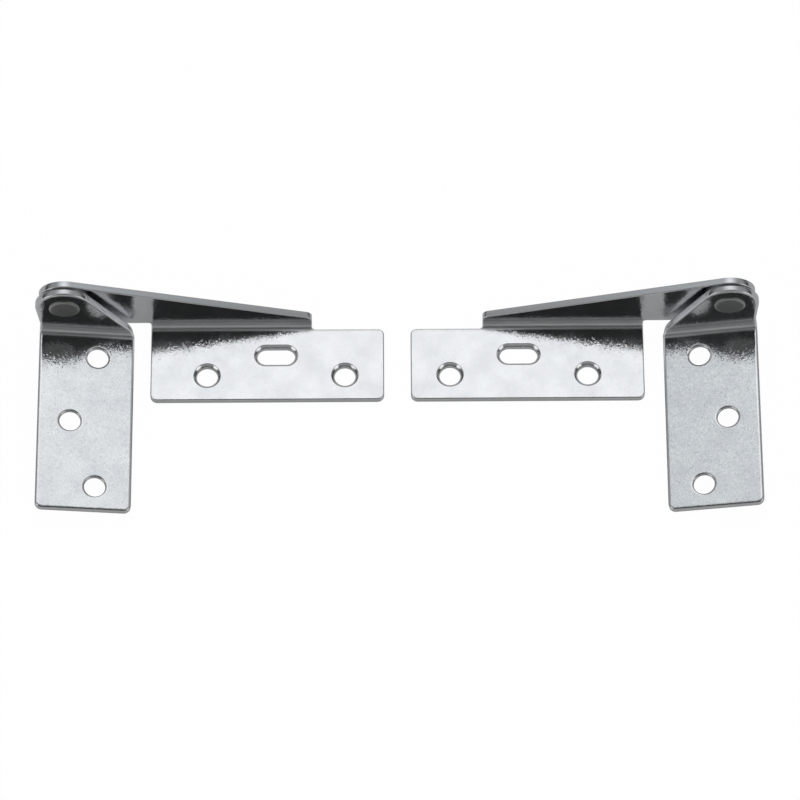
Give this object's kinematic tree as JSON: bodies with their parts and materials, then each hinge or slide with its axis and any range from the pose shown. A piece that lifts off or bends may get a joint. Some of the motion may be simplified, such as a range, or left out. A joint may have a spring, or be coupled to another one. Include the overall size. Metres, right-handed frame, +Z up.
{
  "type": "cabinet hinge pair",
  "caption": "Handed pair of pivot hinges for an inset cabinet door, each a plate with a tapered arm and a screw leaf that turns on a rivet.",
  "frame": {"origin": "on the table under the pair, midway between the two hinges and halfway along Y", "axes": "+X to the right along the two plates, +Y towards the arms that carry the pivots, +Z up from the table, away from the cabinet's side in use"},
  "size_m": [0.1541, 0.0458, 0.0203],
  "materials": {
    "bracket_steel": "satin bright plating",
    "rivet_steel": "satin",
    "washer_steel": "plain"
  },
  "bodies": {
    "cabinet_side": {"left_cabinet_bracket": "bracket_steel", "left_rivet": "rivet_steel", "left_washer": "washer_steel", "right_cabinet_bracket": "bracket_steel", "right_rivet": "rivet_steel", "right_washer": "washer_steel"},
    "left_leaf": {"left_door_bracket": "bracket_steel"},
    "right_leaf": {"right_door_bracket": "bracket_steel"}
  },
  "joints": [
    {"name": "left_pivot", "type": "hinge", "parent": "cabinet_side", "child": "left_leaf", "pos_m": [-0.07075, 0.01912, 0.0141], "axis": [0, -1, 0], "range_deg": [-3, 268]},
    {"name": "right_pivot", "type": "hinge", "parent": "cabinet_side", "child": "right_leaf", "pos_m": [0.07075, 0.01912, 0.0141], "axis": [0, 1, 0], "range_deg": [0, 271]}
  ]
}
